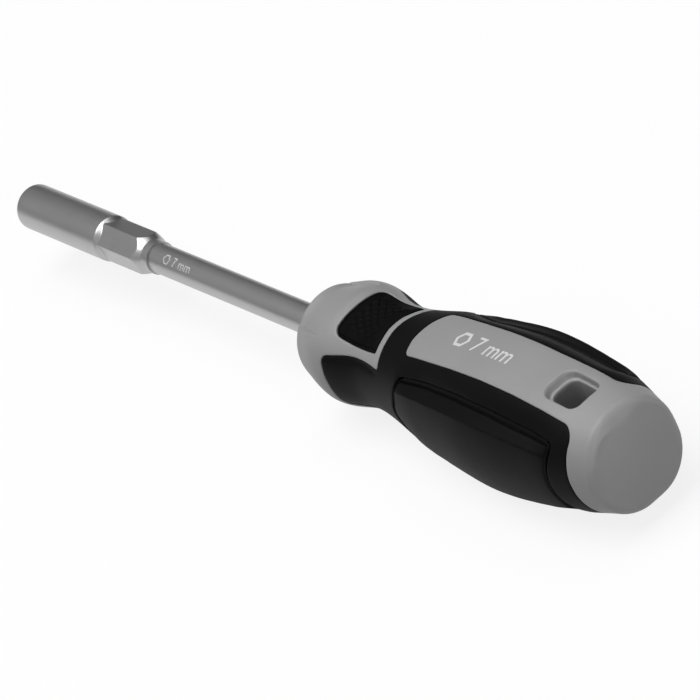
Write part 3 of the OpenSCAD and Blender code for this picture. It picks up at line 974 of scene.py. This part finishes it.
def makeSocket():
    shape = socketShape
    mouth, steps = shape["mouthRound"], shape["mouthSteps"]
    outer = shape["nose"][0][1]
    end = shape["rear"][-1][0]
    turns = [pi / 2 * k / steps for k in range(steps + 1)]
    profile = [(mouth * (1 - cos(t)), outer - mouth * (1 - sin(t))) for t in turns]
    profile += [(x, outer) for run in shape["runs"] for x in np.linspace(*run)]
    seat, bore, boreEnd = shape["seatRadius"], shape["boreRadius"], shape["boreEnd"]
    deep, recess = shape["recessLine"][0]
    bevel, slack = shape["boreBevel"], shape["slack"]
    profile += [(end, seat), (boreEnd, seat), (boreEnd, bore), (deep + bevel, bore), (deep, bore + bevel)]
    profile += shape["recessLine"]
    bm = turnBar(profile, shape["segments"])
    for v in bm.verts:
        place, r = v.co.x / mm, hypot(v.co.y, v.co.z) / mm
        angle = np.arctan2(-v.co.y, v.co.z)
        corner = shape["recessFlats"] / 2 / cos(angle % (pi / 3) - pi / 6)
        if r > outer - slack and place > 2 * mouth:  # outside, behind the round mouth
            r = socketRadius(place, angle)
        elif abs(r - recess) < slack and place < deep + slack:  # walls of the recess
            r = corner
        elif r > recess and place < mouth / 2:  # its bevel
            r = max(r, corner)
        share = r * mm / hypot(v.co.y, v.co.z)
        v.co.y, v.co.z = v.co.y * share, v.co.z * share
    faceOut(bm)
    return bm


addPiece("socketSteel", makeSocket(), satinSteel, "socket", socketShape["sharp"])

# steel shaft: round bar with bevelled ends and two flattened wings inside the handle
shaftShape = {
    "radius": 3.5, "start": 28.0, "end": 193.0, "bevel": 0.6, "wingStart": 175.0, "wingEnd": 189.0,
    "wingSlope": 3.0, "wingHalf": 6.5, "wingThick": 2.4, "segments": 96, "sharp": 30.0,
    # last place and count of the rings along the plain bar, then first, last and count along the wings
    "barRun": (170, 30), "wingRun": (172, 191, 77),
}


def makeShaft():
    shape = shaftShape
    r, start, end, bevel = (shape[k] for k in ("radius", "start", "end", "bevel"))
    steps = [*np.linspace(start + bevel, *shape["barRun"]), *np.linspace(*shape["wingRun"]), end - bevel]
    profile = [(start, 0.0), (start, r - bevel)] + [(x, r) for x in steps] + [(end, r - bevel), (end, 0.0)]
    bm = turnBar(profile, shape["segments"], False)
    for v in bm.verts:
        place, out = v.co.x / mm, hypot(v.co.y, v.co.z) / mm
        if out < r - 0.01 or not shape["wingStart"] < place < shape["wingEnd"]:
            continue
        ramp = min(place - shape["wingStart"], shape["wingEnd"] - place) / shape["wingSlope"]
        wide = shape["wingHalf"] * min(1.0, ramp)
        c, s = abs(v.co.y) / mm / out, abs(v.co.z) / mm / out
        wing = min(wide / max(c, 1e-6), shape["wingThick"] / 2 / max(s, 1e-6))
        share = max(r, wing) / out
        v.co.y, v.co.z = v.co.y * share, v.co.z * share
    return bm


addPiece("shaftSteel", makeShaft(), satinSteel, "shaft", shaftShape["sharp"])

# the core inside the handle keeps its shape and gets its finish
core = frame["nodes"]["handle_core"].data
core.materials.clear()
core.materials.append(corePlastic)

# size marks, a hexagon and the nut's size: printed on the window and stamped on the shaft; the stamp's light
# grey, lighter than the steel, is a painted highlight
windowMark = {
    "place": 53.5, "across": 0.7, "height": 4.2, "gap": 1.8, "line": 0.75, "words": "7 mm", "bold": 0.028,
    "cell": 0.7, "out": 0.025, "sink": 0.2,
}
shaftMark = {
    "place": 61.0, "across": 29.0, "height": 2.3, "gap": 1.0, "line": 0.3, "words": "7 mm", "bold": 0.0,
    "cell": 0.35, "out": 0.012, "sink": 0.15,
}
letterSize = 1.44  # size of the font over the height of its figures


def flatMark(look):
    # hexagon outline and figure, flat, in millimetres, reading along +X
    high = look["height"]
    bm = bmesh.new()
    hexagon = Matrix.Translation((high / sqrt(3), high / 2, 0)) @ Matrix.Rotation(pi / 2, 4, "Z")
    bmesh.ops.create_circle(bm, cap_ends=True, segments=6, radius=high / sqrt(3), matrix=hexagon)
    inside = bm.faces[:]
    bmesh.ops.inset_region(bm, faces=inside, use_boundary=True, use_even_offset=True, thickness=look["line"])
    bmesh.ops.delete(bm, geom=inside, context="FACES")
    words = bpy.data.curves.new("figure", "FONT")
    words.body, words.size, words.fill_mode = look["words"], high * letterSize, "FRONT"
    words.offset = look["bold"]
    holder = bpy.data.objects.new("figure", words)
    scene.collection.objects.link(holder)
    mesh = bpy.data.meshes.new_from_object(holder.evaluated_get(bpy.context.evaluated_depsgraph_get()))
    mesh.transform(Matrix.Translation((high * 2 / sqrt(3) + look["gap"], 0, 0)))
    bm.from_mesh(mesh)
    bpy.data.objects.remove(holder)
    bpy.data.meshes.remove(mesh)
    weld(bm, close["fold"])
    faceOut(bm)
    left, right = (f([v.co.x for v in bm.verts]) for f in (min, max))
    for axis, normal in ((0, (1, 0, 0)), (1, (0, 1, 0))):  # cut small enough to follow the curve
        for k in range(int((right - left) / look["cell"]) + 1):
            spot = Vector(normal) * (left + k * look["cell"])
            bmesh.ops.bisect_plane(
                bm, geom=whole(bm), dist=1e-5, plane_co=spot, plane_no=normal)
    weld(bm, look["height"] / 500)
    if sum(f.normal.z for f in bm.faces) < 0:
        flip(bm)
    made = bmesh.ops.extrude_face_region(bm, geom=bm.faces[:], use_keep_orig=True)["geom"]
    bmesh.ops.translate(bm, verts=vertsOf(made), vec=(0, 0, -1))
    return bm


def makeWindowMark():
    look = windowMark
    bm = flatMark(look)
    for v in bm.verts:
        place, across = look["place"] + v.co.x, look["across"] + v.co.y - look["height"] / 2
        depth = look["out"] if v.co.z > -0.5 else -look["sink"]
        angle = degrees(-across / handleRadius(place, 0, 0))
        v.co = handlePoint(place, angle, depth)
    faceOut(bm)
    return bm


def makeShaftMark():
    look = shaftMark
    bm = flatMark(look)
    for v in bm.verts:
        radius = shaftShape["radius"] + (look["out"] if v.co.z > -0.5 else -look["sink"])
        angle = radians(look["across"]) - (v.co.y - look["height"] / 2) / shaftShape["radius"]
        v.co = Vector((look["place"] + v.co.x, -radius * sin(angle), radius * cos(angle))) * mm
    faceOut(bm)
    return bm


addPiece("windowMark", makeWindowMark(), printInk)
addPiece("shaftMark", makeShaftMark(), stampedSheenSteel)

# plain pale floor under the handle, white to the camera and to reflections, with the object's shadow; the
# white is a painted pool of light that fades out away from the handle
stageLook = {
    "size": 6.0, "middle": 0.1, "low": 0.15, "colour": 0.8, "bounce": 0.24,
    "white": 0.84, "near": 0.4, "far": 0.8, "mirrored": 0.8,
}
lightAim = (0.13, 0, 0)  # all lamps are turned to this spot
lights = [
    {"name": "keyLight", "place": (0.03, -0.38, 1.6), "size": 1.4, "power": 22.0},
    {"name": "topLight", "place": (0.0, 0.4, 1.6), "size": 1.4, "power": 9.0},
    {"name": "endLight", "place": (1.5, 0.1, 0.12), "size": 0.25, "power": 5.0},
]
# the sky's brightness by height, and how much more of it comes from the camera's side
worldLook = {"horizon": 0.12, "middle": 0.38, "zenith": 0.14, "middleAt": 0.43, "zenithAt": 0.85, "lean": 0.8}


def makeStage():
    bm = bmesh.new()
    floorZ = cadBox[0].z - stageLook["low"] * mm
    bmesh.ops.create_grid(bm, x_segments=4, y_segments=4, size=stageLook["size"] / 2)
    mesh = bpy.data.meshes.new("floor")
    bm.to_mesh(mesh)
    bm.free()
    mesh.transform(Matrix.Translation((stageLook["middle"], 0, floorZ)))
    floor = bpy.data.objects.new("floor", mesh)
    scene.collection.objects.link(floor)
    finish, wires = startFinish("paleFloor")
    rays = wires.node("LightPath", {}, {})
    path = rays.socket.node.outputs
    mirrored = Wire(wires.tree, path["Is Glossy Ray"]) * stageLook["mirrored"]
    seen = wires.combine("MAXIMUM", Wire(wires.tree, path["Is Camera Ray"]), mirrored)
    seen = wires.combine("MAXIMUM", seen, Wire(wires.tree, path["Is Transmission Ray"]))
    shade = seen * (stageLook["colour"] - stageLook["bounce"]) + stageLook["bounce"]
    matte = wires.node("BsdfDiffuse", {}, {"Color": shade})
    white = wires.node("Emission", {}, {"Color": (1, 1, 1, 1), "Strength": 1.0})
    spot = wires.node("TexCoord", {}, {}, 3)
    away = wires.node("VectorMath", {"operation": "LENGTH"}, {0: spot}, 1)
    # painted pool of light: the white share is full near the handle and falls to none further away
    near = wires.node("MapRange", {"interpolation_type": "SMOOTHSTEP"}, {
        "Value": away, "From Min": stageLook["near"], "From Max": stageLook["far"],
        "To Min": 1.0, "To Max": 0.0})
    both = wires.node("MixShader", {}, {0: seen * near * stageLook["white"], 1: matte, 2: white})
    wires.node("OutputMaterial", {"is_active_output": True}, {"Surface": both})
    mesh.materials.append(finish)


def makeLights():
    for light in lights:
        data = bpy.data.lights.new(light["name"], "AREA")
        data.shape, data.size, data.energy = "DISK", light["size"], light["power"]
        lamp = bpy.data.objects.new(light["name"], data)
        lamp.location = light["place"]
        lamp.rotation_euler = (Vector(lightAim) - lamp.location).to_track_quat("-Z", "Y").to_euler()
        scene.collection.objects.link(lamp)
    world = bpy.data.worlds.new("studio")
    world.use_nodes = True
    tree = world.node_tree
    tree.nodes.clear()
    wires = Wire(tree)
    spot = wires.node("TexCoord", {}, {}, 0)
    height = wires.node("SeparateXYZ", {}, {0: spot}, 2)
    across = Wire(tree, height.socket.node.outputs[1])
    stops = [(worldLook[name + "At"], worldLook[name]) for name in ("zenith", "middle")]
    shade = wires.node("ValToRGB", {"stops": [(0.0, worldLook["horizon"]), *stops]}, {0: height})
    back = wires.node("Background", {}, {"Color": shade, "Strength": 1 - worldLook["lean"] * across})
    wires.node("OutputWorld", {"is_active_output": True}, {"Surface": back})
    scene.world = world


makeStage()
makeLights()
print("stage and lights set")
